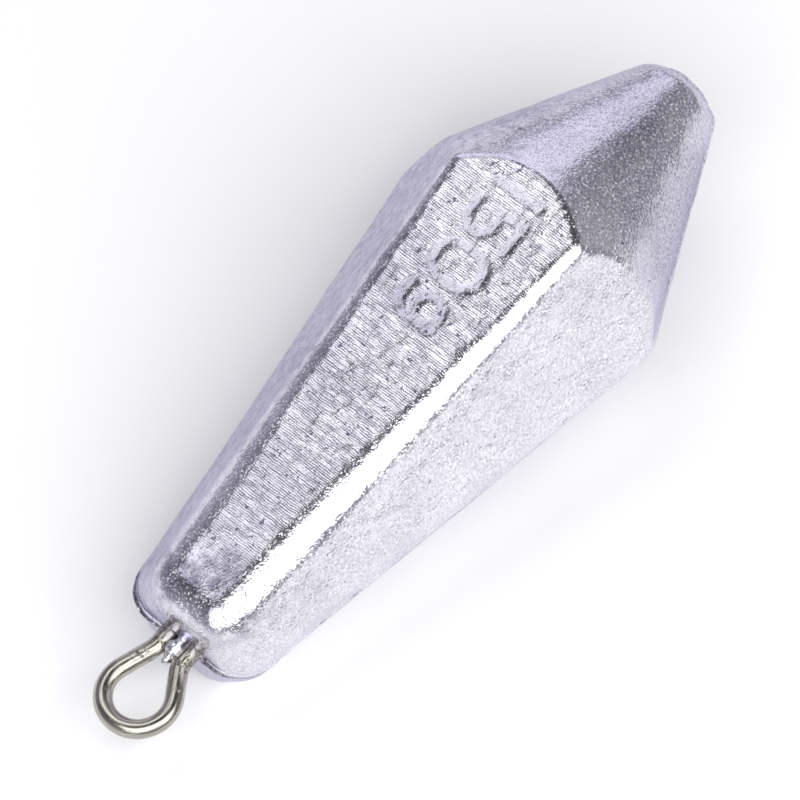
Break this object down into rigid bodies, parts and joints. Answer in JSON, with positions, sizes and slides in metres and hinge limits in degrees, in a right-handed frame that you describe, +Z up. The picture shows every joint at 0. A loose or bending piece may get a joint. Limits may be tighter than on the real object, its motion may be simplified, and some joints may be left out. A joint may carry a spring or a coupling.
{
  "type": "fishing sinker",
  "caption": "Hexagonal cast lead fishing sinker with a conical nose, a raised mass mark and a bent wire eye cast into its narrow end.",
  "frame": {"origin": "under the middle of the whole sinker's box, on the surface that it lies on", "axes": "+X along the length from the eye to the blunt tip, +Z up, with the marked long face uppermost and the opposite long face flat on the surface"},
  "size_m": [0.0674, 0.0242, 0.0218],
  "materials": {
    "cast_lead": "bright lead, as it leaves a steel mould",
    "stainless_wire": "bright drawn stainless wire"
  },
  "bodies": {
    "root": {"lead_body": "cast_lead", "wire_eye": "stainless_wire"}
  },
  "joints": []
}
